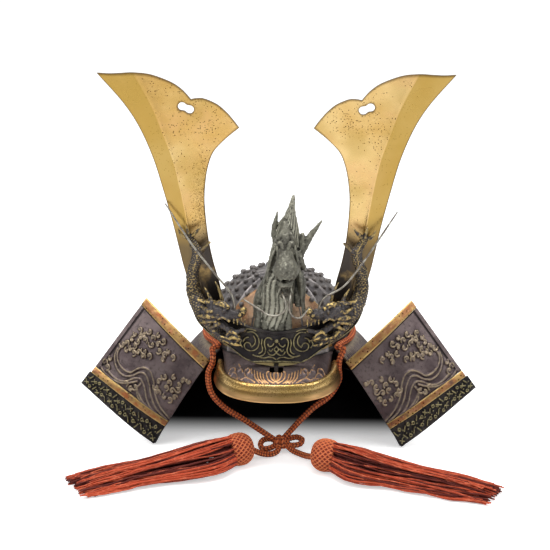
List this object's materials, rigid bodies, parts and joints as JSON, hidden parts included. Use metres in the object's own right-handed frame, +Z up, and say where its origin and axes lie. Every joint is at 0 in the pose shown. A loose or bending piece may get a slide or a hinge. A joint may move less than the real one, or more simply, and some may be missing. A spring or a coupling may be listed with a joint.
{
  "type": "ornamental kabuto samurai helmet",
  "caption": "Cast bronze and gilt brass samurai helmet ornament with tall horns, dragons, a brow peak, turned-back wave flaps, a neck guard and an orange cord with tassels.",
  "frame": {"origin": "under the middle of the metal helmet, without its cord and tassels, at the floor it stands on", "axes": "+Z up, -Y towards the front of the helmet, +X to the right hand of someone who looks at its front"},
  "size_m": [0.3514, 0.2813, 0.3209],
  "materials": {
    "gilt_brass": "polished gilt with brown pits",
    "dark_bronze": "near-black patina with gilt rubbed high points",
    "purple_bronze": "purple-brown patina",
    "copper_gilt": "worn copper-gilt with rust speckle",
    "pewter": "matte grey-green casting, lighter on its high points",
    "whisker_wire": "thin plain wire",
    "orange_cord": "braided and twisted orange-red yarn"
  },
  "bodies": {
    "root": {"bowl": "purple_bronze", "peak": "purple_bronze", "peak_rim": "gilt_brass", "crest_plate": "dark_bronze", "center_dragon": "pewter", "neck_guard": "purple_bronze", "neck_guard_hem": "dark_bronze", "horn_left": "gilt_brass", "side_dragon_left": "dark_bronze", "side_whisker_left": "whisker_wire", "whisker_left": "whisker_wire", "flap_panel_left": "purple_bronze", "flap_top_trim_left": "copper_gilt", "flap_low_trim_left": "copper_gilt", "flap_hem_left": "dark_bronze", "tassel_left": "orange_cord", "cord_tail_left": "orange_cord", "horn_right": "gilt_brass", "side_dragon_right": "dark_bronze", "side_whisker_right": "whisker_wire", "whisker_right": "whisker_wire", "flap_panel_right": "purple_bronze", "flap_top_trim_right": "copper_gilt", "flap_low_trim_right": "copper_gilt", "flap_hem_right": "dark_bronze", "tassel_right": "orange_cord", "cord_tail_right": "orange_cord", "cord_loop": "orange_cord", "cord_knot": "orange_cord"}
  },
  "joints": []
}
